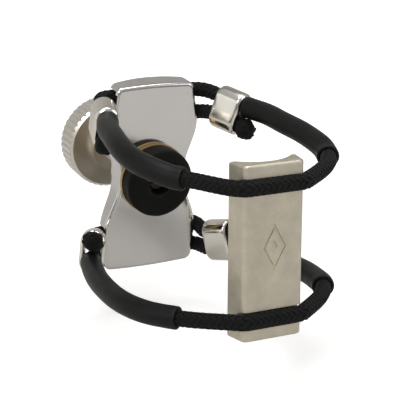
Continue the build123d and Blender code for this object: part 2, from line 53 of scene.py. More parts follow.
# One strand for each quarter of the ring, as (x, y, z) points from the knotted end onwards:
# tail, middle of the straight in the ferrule, bend to the frame plate, [bight], bend back,
# middle of the second straight in the ferrule, sleeve, lead to the reed plate, [plate bend].
# Each ferrule has a centre, an axis and the direction from strand to strand.
STRANDS = {
    "upper_right": {
        "tail": [
            (14.889, 1.708, 9.646), (14.832, 1.902, 9.786), (14.766, 2.102, 9.911),
            (14.693, 2.31, 10.019), (14.611, 2.523, 10.111), (14.523, 2.739, 10.185),
            (14.428, 2.958, 10.242)
        ],
        "in_mid": (13.171, 5.78, 10.86),
        "in_bend": [
            (11.915, 8.602, 11.477), (11.803, 8.892, 11.523), (11.71, 9.191, 11.545),
            (11.627, 9.494, 11.551), (11.547, 9.798, 11.545), (11.466, 10.101, 11.531),
            (11.38, 10.403, 11.509), (11.287, 10.702, 11.482), (11.183, 10.996, 11.45),
            (11.064, 11.285, 11.415), (10.926, 11.565, 11.378), (10.765, 11.832, 11.34),
            (10.578, 12.081, 11.301), (10.361, 12.305, 11.265), (10.113, 12.495, 11.233),
            (9.838, 12.644, 11.206), (9.542, 12.746, 11.188), (9.233, 12.805, 11.177),
            (8.92, 12.823, 11.173)
        ],
        "out_bend": [
            (8.92, 12.352, 15.648), (9.267, 12.339, 15.646), (9.612, 12.296, 15.636),
            (9.951, 12.221, 15.621), (10.28, 12.113, 15.597), (10.596, 11.971, 15.567),
            (10.893, 11.795, 15.53), (11.17, 11.589, 15.486), (11.423, 11.357, 15.436),
            (11.654, 11.103, 15.382), (11.863, 10.832, 15.324), (12.051, 10.546, 15.263),
            (12.22, 10.249, 15.199), (12.373, 9.944, 15.134), (12.513, 9.633, 15.067),
            (12.642, 9.317, 14.999), (12.764, 8.999, 14.93), (12.884, 8.68, 14.861),
            (13.012, 8.365, 14.793)
        ],
        "out_mid": (14.269, 5.543, 14.175),
        "sleeve": [
            (15.525, 2.721, 13.557), (15.763, 2.167, 13.45), (15.987, 1.604, 13.366),
            (16.198, 1.033, 13.299), (16.394, 0.455, 13.244), (16.575, -0.128, 13.198),
            (16.739, -0.716, 13.156), (16.886, -1.309, 13.115), (17.014, -1.906, 13.07),
            (17.121, -2.507, 13.018), (17.211, -3.11, 12.961), (17.285, -3.715, 12.898),
            (17.349, -4.32, 12.83), (17.404, -4.926, 12.76), (17.455, -5.531, 12.687),
            (17.506, -6.137, 12.613), (17.56, -6.743, 12.539), (17.621, -7.348, 12.466),
            (17.691, -7.952, 12.395), (17.769, -8.555, 12.325), (17.851, -9.158, 12.256),
            (17.936, -9.76, 12.186), (18.02, -10.363, 12.115), (18.102, -10.965, 12.042),
            (18.177, -11.568, 11.966), (18.245, -12.171, 11.886), (18.301, -12.775, 11.802),
            (18.348, -13.379, 11.715), (18.384, -13.984, 11.625), (18.409, -14.589, 11.535),
            (18.425, -15.195, 11.444), (18.43, -15.8, 11.354), (18.426, -16.406, 11.265),
            (18.413, -17.012, 11.178), (18.391, -17.618, 11.093), (18.36, -18.223, 11.005),
            (18.32, -18.827, 10.912), (18.27, -19.429, 10.808), (18.208, -20.026, 10.689),
            (18.132, -20.617, 10.547), (18.032, -21.199, 10.387), (17.896, -21.776, 10.235),
            (17.719, -22.349, 10.112), (17.508, -22.918, 10.028), (17.272, -23.481, 9.981),
            (17.02, -24.038, 9.967)
        ],
        "lead": [
            (16.638, -24.805, 9.965), (16.216, -25.549, 9.957), (15.755, -26.271, 9.945),
            (15.259, -26.968, 9.929), (14.729, -27.641, 9.909), (14.17, -28.289, 9.886),
            (13.585, -28.913, 9.861), (12.976, -29.514, 9.835), (12.349, -30.096, 9.808),
            (11.705, -30.66, 9.781), (11.048, -31.208, 9.755), (10.381, -31.744, 9.73),
            (9.706, -32.27, 9.707), (9.026, -32.79, 9.687), (8.343, -33.307, 9.671),
            (7.66, -33.823, 9.658), (6.979, -34.341, 9.65)
        ],
        "ferrule_centre": (13.72, 5.662, 12.517),
        "ferrule_axis": (0.398838, -0.895805, -0.196116),
        "ferrule_long": (0.313493, -0.067785, 0.947168),
    },
    "upper_left": {
        "tail": [
            (-12.913, 2.604, 9.487), (-12.848, 2.793, 9.63), (-12.782, 2.992, 9.758),
            (-12.715, 3.2, 9.868), (-12.647, 3.418, 9.961), (-12.58, 3.642, 10.036),
            (-12.513, 3.871, 10.093)
        ],
        "in_mid": (-11.662, 6.84, 10.711),
        "in_bend": [
            (-10.81, 9.809, 11.328), (-10.749, 10.039, 11.364), (-10.69, 10.272, 11.381),
            (-10.63, 10.505, 11.388), (-10.565, 10.737, 11.386), (-10.493, 10.967, 11.377),
            (-10.412, 11.194, 11.364), (-10.32, 11.416, 11.348), (-10.214, 11.631, 11.328),
            (-10.094, 11.839, 11.307), (-9.956, 12.035, 11.284), (-9.799, 12.216, 11.261),
            (-9.623, 12.379, 11.24), (-9.428, 12.519, 11.22), (-9.217, 12.633, 11.203),
            (-8.992, 12.719, 11.19), (-8.759, 12.779, 11.18), (-8.521, 12.812, 11.175),
            (-8.28, 12.823, 11.173)
        ],
        "out_bend": [
            (-8.28, 12.352, 15.648), (-8.537, 12.341, 15.645), (-8.792, 12.304, 15.634),
            (-9.04, 12.237, 15.614), (-9.275, 12.137, 15.584), (-9.493, 12.005, 15.545),
            (-9.686, 11.842, 15.497), (-9.853, 11.654, 15.442), (-9.995, 11.447, 15.381),
            (-10.112, 11.227, 15.318), (-10.21, 10.998, 15.252), (-10.29, 10.762, 15.185),
            (-10.356, 10.522, 15.118), (-10.412, 10.28, 15.051), (-10.46, 10.036, 14.985),
            (-10.503, 9.79, 14.92), (-10.544, 9.544, 14.857), (-10.589, 9.297, 14.796),
            (-10.647, 9.052, 14.742)
        ],
        "out_mid": (-11.498, 6.083, 14.124),
        "sleeve": [
            (-12.35, 3.114, 13.506), (-12.571, 2.451, 13.385), (-12.839, 1.8, 13.296),
            (-13.134, 1.158, 13.235), (-13.434, 0.516, 13.193), (-13.719, -0.133, 13.163),
            (-13.974, -0.794, 13.139), (-14.201, -1.466, 13.118), (-14.403, -2.146, 13.1),
            (-14.588, -2.831, 13.083), (-14.759, -3.519, 13.067), (-14.921, -4.21, 13.049),
            (-15.08, -4.901, 13.031), (-15.239, -5.592, 13.009), (-15.402, -6.282, 12.983),
            (-15.565, -6.972, 12.953), (-15.727, -7.662, 12.917), (-15.885, -8.352, 12.874),
            (-16.037, -9.043, 12.824), (-16.179, -9.736, 12.765), (-16.311, -10.43, 12.697),
            (-16.428, -11.125, 12.619), (-16.529, -11.822, 12.53), (-16.613, -12.519, 12.432),
            (-16.677, -13.218, 12.327), (-16.722, -13.917, 12.217), (-16.744, -14.617, 12.103),
            (-16.743, -15.317, 11.987), (-16.716, -16.017, 11.871), (-16.663, -16.715, 11.757),
            (-16.58, -17.41, 11.642), (-16.464, -18.101, 11.529), (-16.316, -18.785, 11.414),
            (-16.133, -19.461, 11.3), (-15.915, -20.126, 11.184), (-15.664, -20.779, 11.068),
            (-15.384, -21.42, 10.949), (-15.078, -22.048, 10.826), (-14.747, -22.663, 10.697),
            (-14.392, -23.261, 10.561), (-14.011, -23.841, 10.413), (-13.604, -24.404, 10.269),
            (-13.178, -24.959, 10.152), (-12.744, -25.515, 10.073), (-12.31, -26.074, 10.03),
            (-11.88, -26.639, 10.017)
        ],
        "lead": [
            (-11.54, -27.103, 10.014), (-11.21, -27.575, 10.005), (-10.889, -28.054, 9.991),
            (-10.576, -28.536, 9.972), (-10.267, -29.022, 9.949), (-9.961, -29.509, 9.923),
            (-9.655, -29.997, 9.895), (-9.347, -30.482, 9.865), (-9.034, -30.965, 9.834),
            (-8.715, -31.443, 9.803), (-8.386, -31.915, 9.773), (-8.046, -32.379, 9.744),
            (-7.692, -32.833, 9.718), (-7.323, -33.274, 9.694), (-6.936, -33.7, 9.675),
            (-6.53, -34.109, 9.66), (-6.106, -34.498, 9.65)
        ],
        "ferrule_centre": (-11.58, 6.462, 12.417),
        "ferrule_axis": (-0.270285, -0.942595, -0.196116),
        "ferrule_long": (0.046718, -0.216298, 0.975209),
    },
    "lower_right": {
        "tail": [
            (14.711, 3.865, -10.449), (14.638, 4.051, -10.592), (14.56, 4.245, -10.72),
            (14.476, 4.448, -10.831), (14.387, 4.657, -10.924), (14.294, 4.872, -10.999),
            (14.198, 5.09, -11.056)
        ],
        "in_mid": (12.942, 7.912, -11.673),
        "in_bend": [
            (11.685, 10.734, -12.291), (11.572, 11.061, -12.337), (11.506, 11.404, -12.343),
            (11.471, 11.751, -12.317), (11.457, 12.096, -12.266), (11.451, 12.439, -12.195),
            (11.446, 12.777, -12.109), (11.432, 13.113, -12.01), (11.4, 13.443, -11.9),
            (11.34, 13.767, -11.782), (11.239, 14.078, -11.66), (11.085, 14.367, -11.539),
            (10.87, 14.619, -11.428), (10.6, 14.82, -11.336), (10.291, 14.967, -11.265),
            (9.96, 15.067, -11.216), (9.617, 15.128, -11.185), (9.269, 15.161, -11.169),
            (8.92, 15.17, -11.164)
        ],
        "out_bend": [
            (8.92, 15.641, -15.639), (9.314, 15.622, -15.641), (9.704, 15.561, -15.648),
            (10.082, 15.448, -15.659), (10.436, 15.275, -15.676), (10.752, 15.041, -15.698),
            (11.02, 14.753, -15.723), (11.238, 14.425, -15.749), (11.409, 14.07, -15.775),
            (11.541, 13.699, -15.798), (11.643, 13.318, -15.818), (11.724, 12.932, -15.834),
            (11.789, 12.543, -15.845), (11.845, 12.152, -15.85), (11.898, 11.761, -15.848),
            (11.954, 11.37, -15.836), (12.022, 10.982, -15.813), (12.112, 10.6, -15.773),
            (12.242, 10.233, -15.71)
        ],
        "out_mid": (13.498, 7.411, -15.092),
        "sleeve": [
            (14.755, 4.589, -14.475), (15.021, 3.986, -14.364), (15.285, 3.376, -14.29),
            (15.543, 2.76, -14.243), (15.793, 2.14, -14.216), (16.032, 1.516, -14.202),
            (16.258, 0.886, -14.195), (16.47, 0.251, -14.19), (16.664, -0.389, -14.18),
            (16.838, -1.034, -14.162), (16.994, -1.684, -14.137), (17.134, -2.338, -14.106),
            (17.259, -2.994, -14.071), (17.37, -3.653, -14.033), (17.471, -4.313, -13.993),
            (17.562, -4.974, -13.954), (17.647, -5.637, -13.915), (17.727, -6.3, -13.88),
            (17.804, -6.964, -13.848), (17.877, -7.628, -13.82), (17.946, -8.293, -13.795),
            (18.011, -8.959, -13.771), (18.071, -9.624, -13.75), (18.125, -10.291, -13.729),
            (18.173, -10.958, -13.708), (18.214, -11.625, -13.687), (18.247, -12.293, -13.664),
            (18.272, -12.961, -13.641), (18.286, -13.63, -13.617), (18.289, -14.298, -13.592),
            (18.278, -14.967, -13.567), (18.252, -15.635, -13.542), (18.209, -16.302, -13.517),
            (18.149, -16.968, -13.493), (18.071, -17.632, -13.469), (17.977, -18.293, -13.446),
            (17.87, -18.953, -13.423), (17.752, -19.612, -13.4), (17.628, -20.268, -13.376),
            (17.501, -20.925, -13.35), (17.373, -21.581, -13.322), (17.238, -22.235, -13.293),
            (17.075, -22.884, -13.268), (16.869, -23.519, -13.248), (16.615, -24.138, -13.236),
            (16.32, -24.739, -13.233)
        ],
        "lead": [
            (15.929, -25.435, -13.231), (15.509, -26.113, -13.227), (15.059, -26.772, -13.22),
            (14.582, -27.411, -13.211), (14.08, -28.032, -13.2), (13.555, -28.633, -13.187),
            (13.01, -29.216, -13.173), (12.448, -29.782, -13.158), (11.87, -30.332, -13.143),
            (11.278, -30.868, -13.128), (10.676, -31.391, -13.113), (10.064, -31.903, -13.099),
            (9.445, -32.407, -13.087), (8.821, -32.904, -13.075), (8.192, -33.396, -13.066),
            (7.562, -33.886, -13.059), (6.931, -34.374, -13.054)
        ],
        "ferrule_centre": (13.22, 7.662, -13.383),
        "ferrule_axis": (0.398838, -0.895805, 0.196116),
        "ferrule_long": (0.159085, -0.14303, -0.976849),
    },
    "lower_left": {
        "tail": [
            (-14.503, 5.62, -9.449), (-14.424, 5.803, -9.592), (-14.338, 5.994, -9.72),
            (-14.247, 6.194, -9.831), (-14.151, 6.4, -9.924), (-14.051, 6.611, -9.999),
            (-13.947, 6.826, -10.056)
        ],
        "in_mid": (-12.593, 9.602, -10.673),
        "in_bend": [
            (-11.239, 12.378, -11.291), (-11.138, 12.6, -11.331), (-11.044, 12.826, -11.355),
            (-10.953, 13.055, -11.368), (-10.859, 13.283, -11.37), (-10.761, 13.509, -11.365),
            (-10.654, 13.731, -11.354), (-10.536, 13.946, -11.338), (-10.403, 14.153, -11.318),
            (-10.254, 14.348, -11.295), (-10.087, 14.528, -11.271), (-9.901, 14.688, -11.248),
            (-9.698, 14.826, -11.226), (-9.481, 14.94, -11.207), (-9.251, 15.029, -11.191),
            (-9.014, 15.094, -11.179), (-8.772, 15.138, -11.17), (-8.526, 15.163, -11.165),
            (-8.28, 15.17, -11.164)
        ],
        "out_bend": [
            (-8.28, 15.641, -15.639), (-8.591, 15.624, -15.635), (-8.897, 15.572, -15.622),
            (-9.195, 15.485, -15.599), (-9.479, 15.361, -15.568), (-9.746, 15.206, -15.528),
            (-9.992, 15.022, -15.482), (-10.219, 14.815, -15.429), (-10.426, 14.59, -15.372),
            (-10.614, 14.35, -15.311), (-10.786, 14.098, -15.248), (-10.944, 13.837, -15.182),
            (-11.088, 13.57, -15.115), (-11.222, 13.297, -15.047), (-11.346, 13.02, -14.979),
            (-11.464, 12.74, -14.91), (-11.578, 12.458, -14.842), (-11.691, 12.176, -14.774),
            (-11.813, 11.897, -14.71)
        ],
        "out_mid": (-13.167, 9.121, -14.092),
        "sleeve": [
            (-14.521, 6.345, -13.475), (-14.841, 5.619, -13.363), (-15.122, 4.87, -13.321),
            (-15.374, 4.109, -13.322), (-15.607, 3.343, -13.348), (-15.828, 2.573, -13.387),
            (-16.042, 1.801, -13.426), (-16.253, 1.029, -13.457), (-16.462, 0.255, -13.476),
            (-16.666, -0.52, -13.486), (-16.862, -1.297, -13.489), (-17.049, -2.077, -13.487),
            (-17.222, -2.859, -13.484), (-17.38, -3.645, -13.481), (-17.524, -4.433, -13.481),
            (-17.654, -5.224, -13.481), (-17.772, -6.017, -13.482), (-17.878, -6.812, -13.483),
            (-17.976, -7.607, -13.484), (-18.065, -8.404, -13.484), (-18.146, -9.201, -13.482),
            (-18.221, -9.999, -13.48), (-18.287, -10.798, -13.475), (-18.342, -11.598, -13.468),
            (-18.386, -12.398, -13.46), (-18.415, -13.199, -13.449), (-18.429, -14, -13.435),
            (-18.426, -14.802, -13.42), (-18.403, -15.603, -13.403), (-18.359, -16.403, -13.385),
            (-18.291, -17.201, -13.367), (-18.197, -17.997, -13.351), (-18.075, -18.789, -13.337),
            (-17.923, -19.576, -13.326), (-17.739, -20.356, -13.317), (-17.523, -21.128, -13.31),
            (-17.273, -21.889, -13.303), (-16.987, -22.638, -13.294), (-16.665, -23.372, -13.282),
            (-16.306, -24.088, -13.267), (-15.914, -24.787, -13.248), (-15.494, -25.469, -13.23),
            (-15.047, -26.134, -13.212), (-14.577, -26.783, -13.197), (-14.087, -27.418, -13.187),
            (-13.58, -28.038, -13.183)
        ],
        "lead": [
            (-13.199, -28.479, -13.182), (-12.807, -28.909, -13.178), (-12.403, -29.328, -13.173),
            (-11.989, -29.737, -13.166), (-11.566, -30.137, -13.158), (-11.135, -30.528, -13.149),
            (-10.697, -30.911, -13.139), (-10.253, -31.287, -13.128), (-9.803, -31.657, -13.117),
            (-9.35, -32.022, -13.107), (-8.893, -32.383, -13.096), (-8.433, -32.74, -13.086),
            (-7.972, -33.094, -13.077), (-7.509, -33.447, -13.069), (-7.046, -33.8, -13.062),
            (-6.583, -34.153, -13.057), (-6.121, -34.508, -13.054)
        ],
        "ferrule_centre": (-12.88, 9.361, -12.383),
        "ferrule_axis": (-0.429858, -0.88134, 0.196116),
        "ferrule_long": (-0.16398, -0.137391, -0.976849),
    },
}

# Bight at the frame plate: x of the first half (the second half mirrors it), and (y, z)
BIGHT_HALF_X = {
    "right": [4.37, 3.869, 3.394, 2.967, 2.611, 2.343, 2.176, 2.12],
    "left": [-3.73, -3.229, -2.754, -2.327, -1.971, -1.703, -1.537, -1.48],
}
BIGHT_YZ = {
    "upper": [
        (12.823, 11.173), (12.817, 11.229), (12.799, 11.395), (12.771, 11.661), (12.734, 12.016),
        (12.689, 12.44), (12.64, 12.913), (12.587, 13.411), (12.535, 13.909), (12.485, 14.382),
        (12.441, 14.806), (12.404, 15.16), (12.375, 15.427), (12.358, 15.592), (12.352, 15.648)
    ],
    "lower": [
        (15.17, -11.164), (15.176, -11.22), (15.194, -11.385), (15.222, -11.652),
        (15.259, -12.006), (15.303, -12.431), (15.353, -12.904), (15.405, -13.402),
        (15.458, -13.899), (15.508, -14.372), (15.552, -14.797), (15.589, -15.151),
        (15.617, -15.418), (15.635, -15.583), (15.641, -15.639)
    ],
}

# Bend on to the reed plate, then a straight run to the plate's middle
PLATE_BEND_X = {
    "right": [6.301, 6.166, 6.024, 5.875, 5.721, 5.562, 5.4, 5.236, 5.07],
    "left": [-5.661, -5.527, -5.384, -5.236, -5.081, -4.922, -4.76, -4.596, -4.43],
}
PLATE_BEND_Y = [-34.865, -34.961, -35.046, -35.119, -35.18, -35.227, -35.261, -35.282, -35.288]
PLATE_CORD_Z = {"upper": 9.647, "lower": -13.053}
PLATE_MIDDLE_X = 0.32

# ----------------------------------------------------------------- line helpers


def unit(v):
    v = np.asarray(v, float)
    return v / np.maximum(np.linalg.norm(v, axis=-1, keepdims=True), 1e-12)


def join(*parts):
    """One line from several, without the points they share."""
    points = np.concatenate([np.array(part, float) for part in parts])
    kept = [points[0]]
    for point in points[1:]:
        if np.linalg.norm(point - kept[-1]) > 1e-3:
            kept.append(point)
    return np.array(kept)


def midpoint(a, b):
    return (np.array(a) + np.array(b)) / 2


def length(line):
    return float(np.linalg.norm(np.diff(line, axis=0), axis=1).sum())


def resample(line, step):
    """Points and arc lengths at even steps on a smooth curve (cubic Hermite) through line."""
    line = np.asarray(line, float)
    gaps = np.linalg.norm(np.diff(line, axis=0), axis=1)
    knots = np.concatenate([[0], np.cumsum(gaps)])
    chords = np.diff(line, axis=0) / gaps[:, None]
    before, after = gaps[:-1, None], gaps[1:, None]
    inner = (chords[:-1] * after + chords[1:] * before) / (after + before)
    slopes = np.concatenate([chords[:1], inner, chords[-1:]])
    count = max(4, int(round(knots[-1] / step)) + 1)
    along = np.linspace(0, knots[-1], count)
    k = np.clip(np.searchsorted(knots, along, side="right") - 1, 0, len(gaps) - 1)
    gap = gaps[k][:, None]
    u = (along - knots[k])[:, None] / gap
    points = ((2 * u**3 - 3 * u**2 + 1) * line[k] + (u**3 - 2 * u**2 + u) * gap * slopes[k]
              + (-2 * u**3 + 3 * u**2) * line[k + 1] + (u**3 - u**2) * gap * slopes[k + 1])
    return points, along


def frames(line):
    """Tangents, normals and binormals carried along line without twist (double reflection)."""
    tangents = unit(np.gradient(line, axis=0))
    up = np.array((0.0, 0.0, 1.0))
    normals = [unit(up - tangents[0] * (up @ tangents[0]))]
    for i in range(1, len(line)):
        chord = line[i] - line[i - 1]
        scale = 2 / (chord @ chord)
        normal = normals[-1] - scale * (chord @ normals[-1]) * chord
        tangent = tangents[i - 1] - scale * (chord @ tangents[i - 1]) * chord
        turn = tangents[i] - tangent
        normals.append(unit(normal - 2 / (turn @ turn) * (turn @ normal) * turn))
    normals = np.array(normals)
    return tangents, normals, np.cross(tangents, normals)


def smooth_noise(count, spacing, seed):
    """Soft 1-D noise, about -1 to 1, with a random value every spacing samples."""
    knot_count = max(4, int(count / spacing) + 3)
    values = np.random.default_rng(seed).uniform(-1, 1, knot_count)
    x = np.linspace(0, knot_count - 1.001, count)
    i = x.astype(int)
    f = x - i
    f = f * f * (3 - 2 * f)
    return values[i] * (1 - f) + values[i + 1] * f


# ----------------------------------------------------------------- mesh helpers


def angles(sides):
    return np.linspace(0, TURN, sides, endpoint=False)


def uv_grid(u, v):
    return np.stack(np.broadcast_arrays(u, v), -1)


def around_y(radius, y, angle):
    """Points at an angle about the Y axis, counted from +X towards +Z."""
    return np.stack(np.broadcast_arrays(radius * np.cos(angle), y, radius * np.sin(angle)), -1)


def ellipses(centres, across, up, half_width, half_height, angle):
    """A ring of points about each centre, in the plane of its across and up directions."""
    return (centres[:, None] + across[:, None] * (half_width[:, None] * np.cos(angle))[..., None]
            + up[:, None] * (half_height[:, None] * np.sin(angle))[..., None])


class Mesh:
    """Collects quads and triangles in mm, with one UV per vertex."""

    def __init__(self):
        self.points, self.uvs, self.faces = [], [], []
        self.count = 0

    def add(self, points, uvs):
        base = self.count
        self.points.append(points)
        self.uvs.append(uvs)
        self.count += len(points)
        return base

    def grid(self, points, uv=None, closed=False):
        """points: (rows, columns, 3). The last column joins the first; closed joins the rows."""
        rows, columns = points.shape[:2]
        if uv is None:
            uv = np.zeros((rows, columns, 2))
        base = self.add(points.reshape(-1, 3), uv.reshape(-1, 2))
        row, column = np.meshgrid(np.arange(rows if closed else rows - 1),
                                  np.arange(columns), indexing="ij")
        row, column = row.ravel(), column.ravel()
        next_row, next_column = (row + 1) % rows, (column + 1) % columns
        quads = np.stack([row * columns + column, row * columns + next_column,
                          next_row * columns + next_column, next_row * columns + column], 1)
        self.faces.extend((quads + base).tolist())
        return base

    def cap(self, base, ring, flip=False):
        """Closes a ring whose first vertex is base with a fan round its centre."""
        sides = len(ring)
        middle = self.add(ring.mean(0)[None], np.zeros((1, 2)))
        for i in range(sides):
            face = [base + i, base + (i + 1) % sides, middle]
            self.faces.append(face[::-1] if flip else face)

    def tube(self, points, uv):
        rows, columns = points.shape[:2]
        base = self.grid(points, uv)
        self.cap(base, points[0], flip=True)
        self.cap(base + (rows - 1) * columns, points[-1])

    def sweep(self, line, radius, sides):
        """Round bar along line; radius is a number or one value per point."""
        _, normals, binormals = frames(line)
        radius = np.broadcast_to(radius, len(line))
        angle = angles(sides)
        self.tube(ellipses(line, normals, binormals, radius, radius, angle),
                  uv_grid(np.arange(len(line))[:, None], angle / TURN))

    def build(self, name, material, body, replaced, sharp=None, on_frame=False):
        """Makes the object; sharp is an edge angle in degrees, on_frame leans it with the plate."""
        points = np.concatenate(self.points) * MM
        if on_frame:
            x, y, z = points.T
            c, s = math.cos(FRAME_LEAN), math.sin(FRAME_LEAN)
            points = np.stack([x, y * c - z * s, y * s + z * c], -1) + FRAME_ORIGIN * MM
        mesh = bpy.data.meshes.new(name)
        mesh.from_pydata(points.tolist(), [], self.faces)
        mesh.polygons.foreach_set("material_index", [0] * len(mesh.polygons))
        mesh.polygons.foreach_set("use_smooth", [True] * len(mesh.polygons))
        layer = mesh.uv_layers.new(name="UVMap")
        corners = np.zeros(len(mesh.loops), np.int32)
        mesh.loops.foreach_get("vertex_index", corners)
        uvs = np.concatenate(self.uvs)[corners]
        layer.data.foreach_set("uv", uvs.astype(np.float32).ravel())
        mesh.materials.append(material)
        mesh.validate()
        mesh.update()
        ob = bpy.data.objects.new(name, mesh)
        bpy.context.scene.collection.objects.link(ob)
        if sharp:
            mesh.set_sharp_from_angle(angle=math.radians(sharp))
        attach(ob, body)
        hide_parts(replaced)


# ----------------------------------------------------------------- shader helpers


def new_material(name):
    material = bpy.data.materials.new(name)
    material.use_nodes = True
    tree = material.node_tree
    tree.nodes.clear()
    output = tree.nodes.new("ShaderNodeOutputMaterial")
    shader = tree.nodes.new("ShaderNodeBsdfPrincipled")
    tree.links.new(shader.outputs[0], output.inputs[0])
    return material, tree, shader


def feed(tree, socket, value):
    """Links a socket to a node output, or sets it to a number or an RGB tuple."""
    if isinstance(value, bpy.types.NodeSocket):
        tree.links.new(value, socket)
    elif isinstance(value, tuple):
        socket.default_value = (*value, 1.0)
    else:
        socket.default_value = value


def coords(tree, which="Object"):
    return tree.nodes.new("ShaderNodeTexCoord").outputs[which]


def light_path(tree, which):
    return tree.nodes.new("ShaderNodeLightPath").outputs[which]


def scaled(tree, vector, scale):
    node = tree.nodes.new("ShaderNodeMapping")
    node.inputs["Scale"].default_value = scale
    tree.links.new(vector, node.inputs["Vector"])
    return node.outputs[0]


def noise(tree, vector, scale, detail, rough):
    node = tree.nodes.new("ShaderNodeTexNoise")
    node.inputs["Scale"].default_value = scale
    node.inputs["Detail"].default_value = detail
    node.inputs["Roughness"].default_value = rough
    tree.links.new(vector, node.inputs["Vector"])
    return node.outputs["Fac"]


def remap(tree, value, source, target):
    node = tree.nodes.new("ShaderNodeMapRange")
    tree.links.new(value, node.inputs[0])
    for i, number in enumerate((*source, *target), start=1):
        node.inputs[i].default_value = number
    return node.outputs[0]


def mix_colour(tree, factor, first, second):
    node = tree.nodes.new("ShaderNodeMix")
    node.data_type = "RGBA"
    for index, value in ((0, factor), (6, first), (7, second)):
        feed(tree, node.inputs[index], value)
    return node.outputs[2]


def calculate(tree, operation, a, b):
    node = tree.nodes.new("ShaderNodeMath")
    node.operation = operation
    feed(tree, node.inputs[0], a)
    feed(tree, node.inputs[1], b)
    return node.outputs[0]


def bump(tree, height, strength, distance, below=None):
    """Bump normal, laid over the normal below if one is given."""
    node = tree.nodes.new("ShaderNodeBump")
    node.inputs["Strength"].default_value = strength
    node.inputs["Distance"].default_value = distance
    tree.links.new(height, node.inputs["Height"])
    if below is not None:
        tree.links.new(below, node.inputs["Normal"])
    return node.outputs[0]


# ----------------------------------------------------------------- materials


def painted_rim_highlight(tree, colour, rim):
    """Painted highlight: lighter colour where the surface faces away from the Y axis, as on the
    knurled rim, for the light that falls on its side.
    """
    geometry = tree.nodes.new("ShaderNodeNewGeometry")
    split = tree.nodes.new("ShaderNodeSeparateXYZ")
    tree.links.new(geometry.outputs["Normal"], split.inputs[0])
    facing = calculate(tree, "ABSOLUTE", split.outputs["Y"], 0.0)
    rim_highlight_mask = remap(tree, facing, source=(0.55, 0.9), target=(0.85, 0.0))
    return mix_colour(tree, rim_highlight_mask, colour, rim)


def metal(name, base, rough, tint, rough_var, smudge_scale=140.0, grain=None,
          grain_strength=0.0, scratch=0.0, turned=0.0, rim=None):
    """Metal with smudged colour and roughness, optional grain, hairline scratches, turning, and an
    optional painted highlight on the rim.
    """
    material, tree, shader = new_material(name)
    vector = coords(tree)
    smudge = noise(tree, vector, scale=smudge_scale, detail=4.0, rough=0.6)
    fine = noise(tree, vector, scale=smudge_scale * 9, detail=3.0, rough=0.6)
    dark = tuple(c * (1 - tint * 1.6) for c in base)
    light = tuple(c * (1 + tint) for c in base)
    smudge_mask = remap(tree, smudge, source=(0.3, 0.7), target=(0, 1))
    colour = mix_colour(tree, smudge_mask, dark, light)
    shader.inputs["Metallic"].default_value = 1.0
    broad_rough = remap(tree, smudge, source=(0.25, 0.75),
                        target=(rough - rough_var, rough + rough_var))
    fine_var = rough_var * 0.35
    fine_rough = remap(tree, fine, source=(0.3, 0.7), target=(-fine_var, fine_var))
    if turned:
        # turning marks round the screw axis stretch the highlights across them
        tangent = tree.nodes.new("ShaderNodeTangent")
        tangent.direction_type = "RADIAL"
        tangent.axis = "Y"
        tree.links.new(tangent.outputs[0], shader.inputs["Tangent"])
        shader.inputs["Anisotropic"].default_value = turned
    normal = None
    if grain:
        grains = noise(tree, vector, scale=grain, detail=2.0, rough=0.7)
        grain_mask = remap(tree, grains, source=(0.35, 0.65), target=(0.0, 0.35))
        colour = mix_colour(tree, grain_mask, colour, dark)
        normal = bump(tree, grains, strength=grain_strength, distance=0.00004)
    if scratch:
        stretched = scaled(tree, vector, (900, 900, 6000))
        lines = noise(tree, stretched, scale=1.0, detail=1.0, rough=0.5)
        normal = bump(tree, lines, strength=scratch, distance=0.00001, below=normal)
    # rim is a lighter colour painted on the side faces as a highlight, not the metal's own colour
    if rim:
        colour = painted_rim_highlight(tree, colour, rim)
    feed(tree, shader.inputs["Normal"], normal)
    feed(tree, shader.inputs["Base Color"], colour)
    feed(tree, shader.inputs["Roughness"], calculate(tree, "ADD", broad_rough, fine_rough))
    return material


def rubber(name, base, rough, bump_scale, bump_strength, specular):
    material, tree, shader = new_material(name)
    vector = coords(tree)
    patches = noise(tree, vector, scale=220, detail=4.0, rough=0.6)
    pores = noise(tree, vector, scale=bump_scale, detail=3.0, rough=0.65)
    dark = tuple(c * 0.75 for c in base)
    dusty = tuple(c * 1.25 for c in base)
    dust = remap(tree, patches, source=(0.3, 0.7), target=(0, 1))
    feed(tree, shader.inputs["Base Color"], mix_colour(tree, dust, dark, dusty))
    broad_rough = remap(tree, patches, source=(0.3, 0.7), target=(rough - 0.05, rough + 0.05))
    fine_rough = remap(tree, pores, source=(0.3, 0.7), target=(-0.04, 0.04))
    feed(tree, shader.inputs["Roughness"], calculate(tree, "ADD", broad_rough, fine_rough))
    shader.inputs["Specular IOR Level"].default_value = specular
    normal = bump(tree, pores, strength=bump_strength, distance=0.00005)
    feed(tree, shader.inputs["Normal"], normal)
    return material


